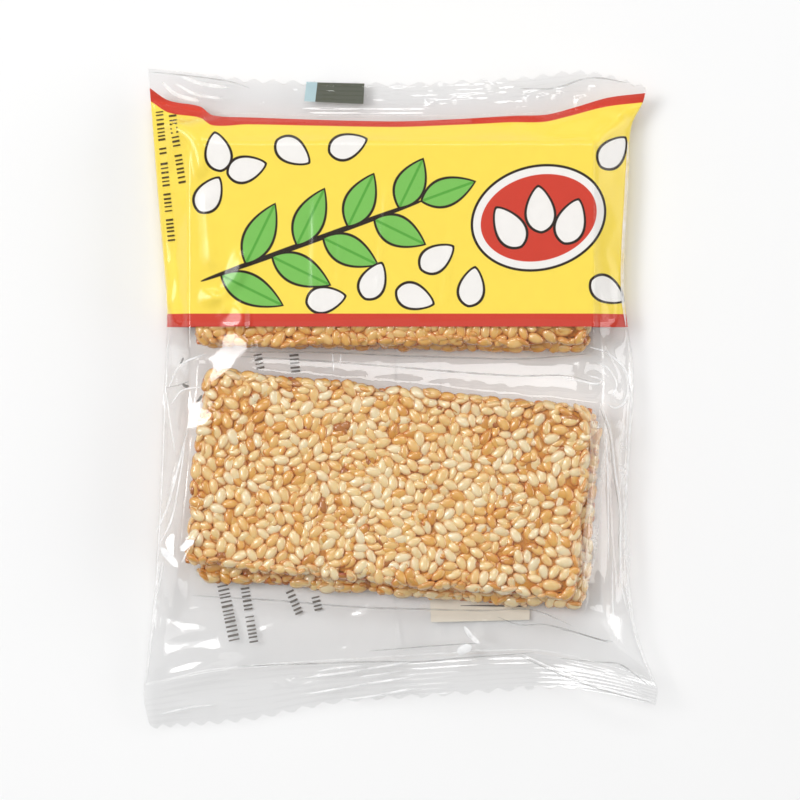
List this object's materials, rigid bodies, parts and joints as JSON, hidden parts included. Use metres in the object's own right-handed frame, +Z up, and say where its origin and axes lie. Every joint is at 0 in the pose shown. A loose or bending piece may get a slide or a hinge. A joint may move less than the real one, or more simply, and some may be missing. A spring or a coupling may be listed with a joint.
{
  "type": "pack of sesame cookies",
  "caption": "Sealed clear film pillow pack with crimped, serrated ends and a back seam, holding stacks of thin oblong sesame seed snaps, with a plain printed band over one half.",
  "frame": {"origin": "middle of the pack's footprint, on the surface that it lies on", "axes": "+X across the pack, +Y along it towards the end seal beside the printed band, +Z up from the back panel to the front film"},
  "size_m": [0.0896, 0.1151, 0.0094],
  "materials": {
    "clear_film": "glossy clear film, folded and crimped",
    "printed_film": "glossy film printed with opaque yellow and red",
    "sesame_snap": "glossy syrup round pale and toasted seeds"
  },
  "bodies": {
    "root": {"sesame_cookie_pack": "clear_film"}
  },
  "joints": []
}
